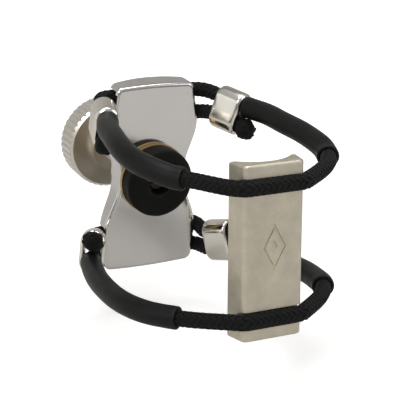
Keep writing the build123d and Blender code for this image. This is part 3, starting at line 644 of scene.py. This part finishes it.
def yarn():
    """Black braid yarn with filaments that run along it at a slight twist."""
    material, tree, shader = new_material("black_braid_yarn")
    uv = coords(tree, "UV")
    wave = tree.nodes.new("ShaderNodeTexWave")
    wave.wave_type = "BANDS"
    wave.bands_direction = "Y"
    wave.inputs["Scale"].default_value = 3.2
    wave.inputs["Distortion"].default_value = 2.0
    wave.inputs["Detail"].default_value = 2.0
    wave.inputs["Detail Scale"].default_value = 2.0
    tree.links.new(scaled(tree, uv, (0.35, 1.0, 1.0)), wave.inputs["Vector"])
    filaments = wave.outputs["Fac"]
    fuzz = noise(tree, coords(tree), scale=900, detail=4.0, rough=0.65)
    colour = mix_colour(tree, remap(tree, fuzz, source=(0.3, 0.7), target=(0, 1)),
                        (0.0020, 0.0021, 0.0021), (0.0062, 0.0065, 0.0063))
    colour = mix_colour(tree, remap(tree, filaments, source=(0.2, 0.9), target=(0.0, 0.5)),
                        colour, (0.0085, 0.009, 0.009))
    feed(tree, shader.inputs["Base Color"], colour)
    feed(tree, shader.inputs["Roughness"],
         remap(tree, fuzz, source=(0.3, 0.7), target=(0.68, 0.9)))
    shader.inputs["Specular IOR Level"].default_value = 0.18
    shader.inputs["Sheen Weight"].default_value = 0.05
    shader.inputs["Sheen Roughness"].default_value = 0.5
    normal = bump(tree, filaments, strength=0.5, distance=0.00003)
    normal = bump(tree, fuzz, strength=0.25, distance=0.00004, below=normal)
    feed(tree, shader.inputs["Normal"], normal)
    return material


CHROME = metal("polished_chrome_plate", base=(0.81, 0.80, 0.79), rough=0.10, tint=0.02,
               rough_var=0.035, smudge_scale=120, grain=9000, grain_strength=0.03, scratch=0.04)
FERRULE_NICKEL = metal("polished_nickel_plate", base=(0.93, 0.905, 0.83), rough=0.15, tint=0.03,
                       rough_var=0.04, smudge_scale=300, scratch=0.04)
# the knob's rim colour is a painted highlight for the light on its knurled side
KNOB_NICKEL = metal("satin_nickel_knob", base=(0.67, 0.605, 0.505), rough=0.33, tint=0.04,
                    rough_var=0.025, grain=5200, grain_strength=0.02, turned=0.75,
                    rim=(0.95, 0.93, 0.89))
PLATE_NICKEL = metal("bead_blasted_nickel", base=(0.765, 0.715, 0.59), rough=0.46, tint=0.10,
                     rough_var=0.06, smudge_scale=260, grain=4200, grain_strength=0.75)
STEEL = metal("turned_steel", base=(0.60, 0.59, 0.57), rough=0.26, tint=0.05,
              rough_var=0.06, scratch=0.1)
BRASS = metal("turned_brass", base=(0.62, 0.43, 0.17), rough=0.28, tint=0.10,
              rough_var=0.08, scratch=0.1)
BLACK_STEEL = metal("blackened_steel", base=(0.05, 0.045, 0.04), rough=0.38, tint=0.1,
                    rough_var=0.08, grain=3000, grain_strength=0.1)
SLEEVE_RUBBER = rubber("grey_black_rubber", base=(0.0048, 0.0060, 0.0055), rough=0.42,
                       bump_scale=2600, bump_strength=0.22, specular=0.24)
PAD_RUBBER = rubber("black_pad_rubber", base=(0.0042, 0.0042, 0.0028), rough=0.56,
                    bump_scale=1800, bump_strength=0.3, specular=0.17)
YARN = yarn()

# ----------------------------------------------------------------- cords

YARNS = 8                             # each way round
BRAID_LEAD = 8.6                      # length of one turn of a yarn
YARN_RADIUS, YARN_WAVE = 1.10, 0.15   # mean distance from the cord's line, weave in and out
YARN_HALF_WIDTH, YARN_HALF_THICKNESS = 0.355, 0.165
YARN_SIDES = 8
WEAVE_SHARPNESS = 1.6                 # higher holds a yarn longer at its over and under levels
CORE_RADIUS = 0.98
BRAID_STEP = 0.16
FERRULE_COVER = 1.2                   # braid that still shows inside each end of a ferrule
SLEEVE_START_COVER, SLEEVE_END_COVER = 1.6, 2.0   # braid that runs on inside a sleeve

KNOT_RADIUS, STUB_DEPTH_RADIUS = 1.84, 1.62
KNOT_ROWS, KNOT_COLUMNS = 34, 52
STUBS, STUB_POINTS = 16, 9
HAIR_QUARTER_TURN = 1.57


def add_braid(mesh, line, phase, hidden=()):
    """Two-over, two-under round braid; hidden holds the arc ranges left out."""
    centre, along = resample(line, BRAID_STEP)
    tangent, normal, binormal = frames(centre)
    crossing = BRAID_LEAD / (2 * YARNS)
    section = angles(YARN_SIDES)
    shown = np.ones(len(along), bool)
    for start, end in hidden:
        shown &= ~((along > start) & (along < end))
    runs = np.flatnonzero(np.diff(np.r_[0, shown, 0])).reshape(-1, 2)
    for hand in (1, -1):
        for k in range(YARNS):
            angle = (hand * TURN * along / BRAID_LEAD + TURN * k / YARNS + phase)[:, None]
            crossings = 2 * k + hand * along / crossing
            wave = np.tanh(WEAVE_SHARPNESS * np.cos(TURN * (crossings - 0.5) / 4))
            wave = hand * wave / math.tanh(WEAVE_SHARPNESS)
            radius = (YARN_RADIUS + YARN_WAVE * wave)[:, None]
            outward = normal * np.cos(angle) + binormal * np.sin(angle)
            around = -normal * np.sin(angle) + binormal * np.cos(angle)
            heading = unit(tangent + hand * (TURN * radius / BRAID_LEAD) * around)
            across = unit(np.cross(heading, outward))
            seed = 100 * k + (7 if hand > 0 else 3)
            jitter = 1 + 0.05 * smooth_noise(len(along), 9, seed)
            points = ellipses(centre + radius * outward, across, outward,
                              YARN_HALF_WIDTH * jitter, YARN_HALF_THICKNESS * (2 - jitter),
                              section)
            uv = uv_grid(along[:, None], section / TURN * 2.0)
            for start, stop in runs:
                if stop - start > 4:
                    mesh.tube(points[start:stop], uv[start:stop])


def add_core(mesh, line, step):
    mesh.sweep(resample(line, step)[0], CORE_RADIUS, sides=16)


def lumps(rng, directions, count, frequency):
    """Mean of random sine waves over the directions."""
    waves = rng.normal(size=(count, 3)) * frequency
    phases = rng.uniform(0, 6.28, count)
    return sum(np.sin(directions @ waves[i] + phases[i]) for i in range(count)) / count


def add_knot(mesh, centre, axis, away, seed):
    """Melted, frayed cord end: a lumpy mass with stubs of yarn pressed into it."""
    rng = np.random.default_rng(seed)
    axis = unit(axis)
    away = unit(away - axis * (away @ axis))
    side = np.cross(axis, away)
    polar = np.linspace(0, np.pi, KNOT_ROWS)[:, None, None]
    turn = angles(KNOT_COLUMNS)[None, :, None]
    directions = (np.cos(polar) * axis + np.sin(polar) * np.cos(turn) * away
                  + np.sin(polar) * np.sin(turn) * side)
    big = lumps(rng, directions, count=8, frequency=2.2)
    fine = lumps(rng, directions, count=14, frequency=7.5)
    radius = KNOT_RADIUS * (1 + 0.18 * big + 0.11 * fine)
    radius = radius * (1 + 0.10 * np.clip(directions @ away, 0, 1))
    mesh.grid(centre + radius[..., None] * directions)
    t = np.linspace(-0.5, 0.5, STUB_POINTS)
    taper = np.sqrt(np.clip(1 - (2 * t) ** 2, 0.05, 1))
    u = t[:, None]
    for _ in range(STUBS):
        outward = unit(rng.normal(size=3) + 0.7 * away + 0.5 * axis)
        lie = unit(np.cross(outward, rng.normal(size=3)))
        stub_length = rng.uniform(0.7, 1.5)
        arch = 0.22 * (0.25 - u * u) * 4
        height = STUB_DEPTH_RADIUS + arch + rng.uniform(-0.05, 0.12)
        line = centre + unit(outward + lie * u * stub_length / 1.7) * height
        mesh.sweep(line, rng.uniform(0.2, 0.32) * taper, sides=8)


def add_hairs(mesh, line, count, seed, root_radius):
    """Loose filaments that stand off the braid."""
    rng = np.random.default_rng(seed)
    centre, _ = resample(line, 0.2)
    tangent, normal, binormal = frames(centre)
    u = np.linspace(0, 1, 5)[:, None]
    for _ in range(count):
        k = rng.integers(2, len(centre) - 2)
        a = rng.uniform(0, TURN)
        b = a + HAIR_QUARTER_TURN
        outward = normal[k] * math.cos(a) + binormal[k] * math.sin(a)
        around = normal[k] * math.cos(b) + binormal[k] * math.sin(b)
        heading = unit(outward * rng.uniform(0.5, 1.0) + tangent[k] * rng.uniform(-1, 1)
                       + around * rng.uniform(-0.8, 0.8))
        hair_length = rng.uniform(0.25, 0.85)
        bend = unit(rng.normal(size=3)) * hair_length * 0.35
        root = centre[k] + outward * root_radius
        hair = root + heading * hair_length * u + bend * u * u
        mesh.sweep(hair, np.linspace(0.018, 0.009, 5), sides=4)


def knotted_line(strand, level, side):
    """From the knotted end, round the bight at the frame plate, to the start of the sleeve."""
    half = BIGHT_HALF_X[side]
    bight = [(x, y, z) for x, (y, z) in zip(half + half[-2::-1], BIGHT_YZ[level])]
    in_bend, out_bend = strand["in_bend"], strand["out_bend"]
    return join(strand["tail"], [strand["in_mid"]], in_bend,
                [midpoint(in_bend[-1], bight[0])], bight, [midpoint(bight[-1], out_bend[0])],
                out_bend, [strand["out_mid"], strand["sleeve"][0]])


def plate_line(strand, level, side):
    """From the end of the sleeve to the middle of the reed plate."""
    z = PLATE_CORD_Z[level]
    bend = [(x, y, z) for x, y in zip(PLATE_BEND_X[side], PLATE_BEND_Y)]
    middle = (PLATE_MIDDLE_X, PLATE_BEND_Y[-1], z)
    return join(strand["lead"], bend, [midpoint(bend[-1], middle), middle])


def make_cord(level, seed):
    mesh = Mesh()
    fronts = []
    # side, start angle of its braid, seed offsets of its knot and hairs
    for side, phase, knot_seed, hair_seed in (("right", 0.2, 1, 12), ("left", 0.9, 2, 10)):
        strand = STRANDS[level + "_" + side]
        tail, sleeve = strand["tail"], strand["sleeve"]
        back = knotted_line(strand, level, side)
        covered, along = resample(sleeve, 0.25)
        line = join(back, covered[along < SLEEVE_START_COVER])
        # the two straights hidden in the ferrule are equally long
        straight = length([tail[-1], strand["in_mid"], strand["in_bend"][0]])
        hidden = [(start + FERRULE_COVER, start + straight - FERRULE_COVER)
                  for start in (length(tail), length(back) - straight)]
        add_braid(mesh, line, phase, hidden)
        add_core(mesh, line, 0.5)
        away = np.array(tail[-1]) - np.array(sleeve[0])
        add_knot(mesh, back[0], back[0] - back[2], away, seed + knot_seed)
        add_hairs(mesh, back[:12], 14, seed + hair_seed, root_radius=1.18)
        fronts.append(join(covered[along > along[-1] - SLEEVE_END_COVER],
                           plate_line(strand, level, side)))
        # plain core through the sleeve, where no braid shows
        add_core(mesh, sleeve, 0.8)
    right, left = fronts
    line = join(right, left[::-1])
    add_braid(mesh, line, 0.5)
    add_core(mesh, line, 0.5)
    add_hairs(mesh, line[12:-12], 60, seed + 31, root_radius=1.26)
    mesh.build("braided_" + level + "_cord", YARN, level + "_loop",
               level + "_cord")


make_cord("upper", 40)
make_cord("lower", 80)

# ----------------------------------------------------------------- sleeves

SLEEVE_SIDES = 40
SLEEVE_RADIUS, SLEEVE_BORE_RADIUS = 1.985, 1.47
# (radius, distance in from the end) over a rounded lip, from the bore outwards
SLEEVE_LIP = [(1.47, 0.35), (1.50, 0.10), (1.58, 0.0), (1.78, 0.0), (1.90, 0.04), (1.96, 0.13)]
SLEEVE_UV_TURN = 6.2832               # angle that spans the UV map's width


def make_sleeve(key, seed):
    centre, along = resample(STRANDS[key]["sleeve"], 0.3)
    tangent, normal, binormal = frames(centre)
    count = len(centre)
    angle = angles(SLEEVE_SIDES)
    broad = 0.010 * smooth_noise(count, 14, seed)[:, None]
    oval = 0.006 * smooth_noise(count, 5, seed + 1)[:, None] * np.cos(2 * angle + seed)
    outer = SLEEVE_RADIUS + broad + oval
    rows, row_u = [], []

    def add_ring(i, radius, shift=0.0):
        rows.append(centre[i] + tangent[i] * shift
                    + (radius * np.cos(angle))[:, None] * normal[i]
                    + (radius * np.sin(angle))[:, None] * binormal[i])
        row_u.append(along[i] + shift)

    for radius, inset in SLEEVE_LIP:
        add_ring(0, radius, inset)
    for i in range(1, count - 1):
        add_ring(i, outer[i])
    for radius, inset in SLEEVE_LIP[::-1]:
        add_ring(count - 1, radius, -inset)
    for i in range(count - 3, 2, -2):
        add_ring(i, SLEEVE_BORE_RADIUS)
    mesh = Mesh()
    mesh.grid(np.array(rows), uv_grid(np.array(row_u)[:, None], angle / SLEEVE_UV_TURN),
              closed=True)
    mesh.build("rubber_sleeve_" + key, SLEEVE_RUBBER, key.split("_")[0] + "_loop",
               "sleeve_" + key, sharp=50)


for i, key in enumerate(STRANDS):
    make_sleeve(key, 5 + 4 * i)

# ----------------------------------------------------------------- ferrules

FERRULE_LENGTH = 5.8
FERRULE_HALF_SPACING = 1.75           # from the centre to each rounded side's own centre
FERRULE_ARC_POINTS = 20
# (distance from the end, radius) from the bore, over the lip, to the middle of the outside
FERRULE_PROFILE = [
    (0.55, 1.464), (0.22, 1.47), (0.08, 1.53), (0.01, 1.62), (0.0, 1.74), (0.02, 1.86),
    (0.06, 1.945), (0.29, 2.18), (0.35, 2.235), (0.44, 2.28), (0.60, 2.31), (1.0, 2.33),
    (1.9, 2.337), (2.9, 2.338),
]


def make_ferrule(key):
    """Flat-sided oval tube round the two strands."""
    centre, axis, long_way = (np.array(STRANDS[key]["ferrule_" + part])
                              for part in ("centre", "axis", "long"))
    wide_way = np.cross(axis, long_way)
    mirrored = [(FERRULE_LENGTH - t, radius) for t, radius in FERRULE_PROFILE[::-1][1:]]
    half = np.linspace(-np.pi / 2, np.pi / 2, FERRULE_ARC_POINTS)
    angle = np.concatenate([half, half + np.pi])
    offset = FERRULE_HALF_SPACING * np.repeat([1.0, -1.0], FERRULE_ARC_POINTS)
    rows = []
    for t, radius in FERRULE_PROFILE + mirrored:
        u = offset + radius * np.cos(angle)
        v = radius * np.sin(angle)
        rows.append(centre + axis * (t - FERRULE_LENGTH / 2)
                    + u[:, None] * long_way + v[:, None] * wide_way)
    mesh = Mesh()
    mesh.grid(np.array(rows), closed=True)
    mesh.build("polished_ferrule_" + key, FERRULE_NICKEL, key.split("_")[0] + "_loop",
               "ferrule_" + key, sharp=38)


for key in STRANDS:
    make_ferrule(key)

# ----------------------------------------------------------------- spindle

THREAD_PITCH, THREAD_DEPTH, THREAD_RADIUS = 0.8, 0.44, 2.49
THREAD_START, THREAD_END = 0.6, 23.1
SPINDLE_SIDES = 48
SPINDLE_BACK = 23.4
# (radius, y) of the plain front end and of the back end
SPINDLE_FRONT_PROFILE = [(0.05, -0.6), (0.85, -0.6), (0.85, -0.98), (1.42, -0.98), (1.5, -0.9),
                         (1.5, -0.05), (2.2, -0.05), (2.45, 0.15)]
SPINDLE_BACK_PROFILE = [(THREAD_RADIUS, THREAD_END + 0.05), (2.1, SPINDLE_BACK),
                        (1.2, SPINDLE_BACK), (0.4, SPINDLE_BACK), (0.1, SPINDLE_BACK)]


def make_spindle():
    angle = angles(SPINDLE_SIDES)
    y = np.arange(THREAD_START, THREAD_END, 0.1)[:, None]
    # right-handed thread: the crest moves along -Y as the angle about -Y grows
    phase = (y / THREAD_PITCH + angle / TURN) % 1.0
    crest = np.clip((np.abs(phase - 0.5) * 2 - 0.12) / 0.72, 0, 1)
    fade = (np.clip((THREAD_END - 0.3 - y) / 0.6, 0, 1)
            * np.clip((y - THREAD_START) / 0.6, 0, 1))
    thread = around_y(THREAD_RADIUS - THREAD_DEPTH * fade * (1 - crest), y, angle)
    front, back = (around_y(profile[:, :1], profile[:, 1:], angle)
                   for profile in map(np.array, (SPINDLE_FRONT_PROFILE, SPINDLE_BACK_PROFILE)))
    mesh = Mesh()
    mesh.grid(np.concatenate([front, thread, back]))
    mesh.build("threaded_spindle", STEEL, "thumb_screw", "screw_spindle",
               sharp=45, on_frame=True)


make_spindle()

# ----------------------------------------------------------------- pad

PAD_FRONT, PAD_BACK = -3.9, -0.9
PAD_SIDES = 128
# (radius, y) from the hole, over the front face and the rim, to the back
PAD_PROFILE = [
    (2.2, PAD_BACK), (2.2, PAD_FRONT + 0.55), (2.22, PAD_FRONT + 0.30),
    (2.32, PAD_FRONT + 0.13), (2.5, PAD_FRONT + 0.05), (2.8, PAD_FRONT + 0.015),
    (3.4, PAD_FRONT), (4.2, PAD_FRONT), (5.2, PAD_FRONT), (5.7, PAD_FRONT + 0.01),
    (6.05, PAD_FRONT + 0.06), (6.3, PAD_FRONT + 0.17), (6.47, PAD_FRONT + 0.33),
    (6.56, PAD_FRONT + 0.55), (6.59, PAD_FRONT + 0.85), (6.57, PAD_FRONT + 1.4),
    (6.56, PAD_FRONT + 2.0), (6.58, PAD_FRONT + 2.6), (6.59, PAD_BACK - 0.12),
    (6.53, PAD_BACK - 0.02), (6.4, PAD_BACK),
]


def make_pad():
    """Pierced rubber disc, slightly uneven round its rim and its hole."""
    profile = np.array(PAD_PROFILE)
    radius, y = profile[:, :1], profile[:, 1:]
    angle = angles(PAD_SIDES)
    phases = np.random.default_rng(3).uniform(0, 6.28, 5)
    rim = (0.012 * np.sin(5 * angle + phases[0] + y)
           + 0.008 * np.sin(13 * angle + phases[1] - 2 * y))
    inside = 0.004 * np.sin(7 * angle + phases[2])
    points = around_y(radius + np.where(radius > 5, rim, inside), y, angle)
    along = np.cumsum(np.r_[0, np.linalg.norm(np.diff(profile, axis=0), axis=1)])
    mesh = Mesh()
    mesh.grid(points, uv_grid(angle / TURN, along[:, None]), closed=True)
    mesh.build("rubber_pad", PAD_RUBBER, "pad", "pad_disc", sharp=40, on_frame=True)


make_pad()

# ----------------------------------------------------------------- CAD pieces kept as they are

CAD_MATERIALS = {
    "frame_plate": CHROME, "thread_bush": BRASS, "thumb_knob": KNOB_NICKEL,
    "pad_backing": BRASS, "pad_retaining_screw": BLACK_STEEL, "reed_plate": PLATE_NICKEL,
    "cord_post_upper_left": STEEL, "cord_post_upper_right": STEEL,
    "cord_post_lower_left": STEEL, "cord_post_lower_right": STEEL,
}
for name, material in CAD_MATERIALS.items():
    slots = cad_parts[name].data.materials
    slots.clear()
    slots.append(material)

# ----------------------------------------------------------------- floor

FLOOR_Z = -27.0                       # below the reed plate when it swings right down
FLOOR_X = (-1500, -500, 0, 500, 1500)
FLOOR_FRONT_Y, FLOOR_BEND_Y = -900.0, 250.0
FLOOR_BEND_RADIUS, FLOOR_BEND_STEPS = 300, 12
FLOOR_WALL_HEIGHT = 1200.0


def floor_material():
    """Pale floor: lifted to near white for the camera, darker in glossy reflections."""
    material, tree, shader = new_material("pale_floor")
    vector = coords(tree)
    mottle = noise(tree, vector, scale=30, detail=3.0, rough=0.5)
    pale = mix_colour(tree, mottle, (0.78, 0.775, 0.765), (0.82, 0.815, 0.805))
    colour = mix_colour(tree, light_path(tree, "Is Glossy Ray"), pale, (0.57, 0.555, 0.535))
    feed(tree, shader.inputs["Base Color"], colour)
    shader.inputs["Roughness"].default_value = 0.9
    shader.inputs["Specular IOR Level"].default_value = 0.1
    distance = tree.nodes.new("ShaderNodeVectorMath")
    distance.operation = "LENGTH"
    tree.links.new(vector, distance.inputs[0])
    # glow strength by distance from the middle, in metres
    glow = remap(tree, distance.outputs["Value"], source=(0.08, 0.35), target=(0.46, 1.0))
    feed(tree, shader.inputs["Emission Strength"],
         calculate(tree, "MULTIPLY", light_path(tree, "Is Camera Ray"), glow))
    shader.inputs["Emission Color"].default_value = (1, 1, 1, 1)
    return material


def make_floor():
    """Sweep that rises behind the object, so that no horizon shows."""
    profile = [(FLOOR_FRONT_Y, 0.0), (0.0, 0.0), (FLOOR_BEND_Y, 0.0)]
    for k in range(1, FLOOR_BEND_STEPS + 1):
        a = math.radians(90 * k / FLOOR_BEND_STEPS)
        profile.append((FLOOR_BEND_Y + FLOOR_BEND_RADIUS * math.sin(a),
                        FLOOR_BEND_RADIUS * (1 - math.cos(a))))
    profile.append((FLOOR_BEND_Y + FLOOR_BEND_RADIUS, FLOOR_WALL_HEIGHT))
    points = np.array([(x, y, z + FLOOR_Z) for y, z in profile for x in FLOOR_X]) * MM
    columns = len(FLOOR_X)
    faces = [[i * columns + j, i * columns + j + 1,
              (i + 1) * columns + j + 1, (i + 1) * columns + j]
             for i in range(len(profile) - 1) for j in range(columns - 1)]
    mesh = bpy.data.meshes.new("floor")
    mesh.from_pydata(points.tolist(), [], faces)
    mesh.polygons.foreach_set("use_smooth", [True] * len(mesh.polygons))
    mesh.materials.append(floor_material())
    ob = bpy.data.objects.new("floor", mesh)
    bpy.context.scene.collection.objects.link(ob)


make_floor()

# ----------------------------------------------------------------- lights and world


def add_light(name, place, target, size, power, colour):
    """Square area light; places and size in metres, power in watts."""
    light = bpy.data.lights.new(name, "AREA")
    light.energy = power
    light.color = colour
    light.size = size
    ob = bpy.data.objects.new(name, light)
    bpy.context.scene.collection.objects.link(ob)
    ob.location = place
    ob.rotation_mode = "QUATERNION"
    ob.rotation_quaternion = (Vector(target) - Vector(place)).to_track_quat("-Z", "Y")


RING_MIDDLE = (0, -0.02, 0)
add_light("key", place=(-0.42, -0.40, 0.42), target=RING_MIDDLE, size=0.34, power=1.35,
          colour=(1, 0.99, 0.965))
add_light("fill", place=(0.50, -0.45, 0.25), target=RING_MIDDLE, size=0.42, power=0.60,
          colour=(0.99, 1, 1))
add_light("top", place=(0.02, -0.05, 0.6), target=RING_MIDDLE, size=0.45, power=1.9,
          colour=(1, 0.99, 0.97))
add_light("left", place=(-0.55, 0.10, 0.17), target=(0, 0, 0), size=0.5, power=0.38,
          colour=(1, 0.985, 0.94))


def make_world():
    """White to the camera; a soft gradient, lighter above, to everything else."""
    world = bpy.data.worlds.new("world")
    bpy.context.scene.world = world
    world.use_nodes = True
    tree = world.node_tree
    tree.nodes.clear()
    output = tree.nodes.new("ShaderNodeOutputWorld")
    surroundings = tree.nodes.new("ShaderNodeBackground")
    backdrop = tree.nodes.new("ShaderNodeBackground")
    mix = tree.nodes.new("ShaderNodeMixShader")
    backdrop.inputs["Color"].default_value = (1, 1, 1, 1)
    backdrop.inputs["Strength"].default_value = 1.0
    split = tree.nodes.new("ShaderNodeSeparateXYZ")
    tree.links.new(coords(tree, "Generated"), split.inputs[0])
    ramp = tree.nodes.new("ShaderNodeValToRGB")
    height = remap(tree, split.outputs["Z"], source=(-1.0, 1.0), target=(0.0, 1.0))
    tree.links.new(height, ramp.inputs[0])
    low, high = ramp.color_ramp.elements
    low.position, low.color = 0.40, (0.30, 0.285, 0.27, 1)
    high.position, high.color = 0.80, (0.85, 0.85, 0.86, 1)
    tree.links.new(ramp.outputs[0], surroundings.inputs["Color"])
    surroundings.inputs["Strength"].default_value = 0.46
    tree.links.new(light_path(tree, "Is Camera Ray"), mix.inputs[0])
    tree.links.new(surroundings.outputs[0], mix.inputs[1])
    tree.links.new(backdrop.outputs[0], mix.inputs[2])
    tree.links.new(mix.outputs[0], output.inputs[0])


make_world()

# ----------------------------------------------------------------- camera

CAMERA_AZIMUTH = math.radians(-27.0)  # from straight in front, towards the left
CAMERA_ELEVATION = math.radians(15.91)
CAMERA_ROLL = math.radians(0.32)
CAMERA_DISTANCE = 276.84
CAMERA_TARGET = Vector((2.41, -15.0, -0.91)) + Vector(FRAME_ORIGIN.tolist())
CAMERA_LENS, CAMERA_SENSOR = 137.7243, 36


def make_camera():
    cos_az, sin_az = math.cos(CAMERA_AZIMUTH), math.sin(CAMERA_AZIMUTH)
    cos_el, sin_el = math.cos(CAMERA_ELEVATION), math.sin(CAMERA_ELEVATION)
    level_right = Vector((cos_az, sin_az, 0))
    level_up = Vector((-sin_az * sin_el, cos_az * sin_el, cos_el))
    backward = Vector((sin_az * cos_el, -cos_az * cos_el, sin_el))
    right = math.cos(CAMERA_ROLL) * level_right + math.sin(CAMERA_ROLL) * level_up
    up = -math.sin(CAMERA_ROLL) * level_right + math.cos(CAMERA_ROLL) * level_up
    place = (CAMERA_TARGET + backward * CAMERA_DISTANCE) * MM
    lens = bpy.data.cameras.new("camera")
    camera = bpy.data.objects.new("camera", lens)
    bpy.context.scene.collection.objects.link(camera)
    rows = [(right[i], up[i], backward[i], place[i]) for i in range(3)]
    camera.matrix_world = Matrix((*rows, (0, 0, 0, 1)))
    lens.sensor_width = CAMERA_SENSOR
    lens.lens = CAMERA_LENS
    lens.clip_start, lens.clip_end = 0.01, 10
    bpy.context.scene.camera = camera


make_camera()
view = bpy.context.scene.view_settings
view.view_transform = "Standard"
view.look = "None"
view.exposure = 0.0
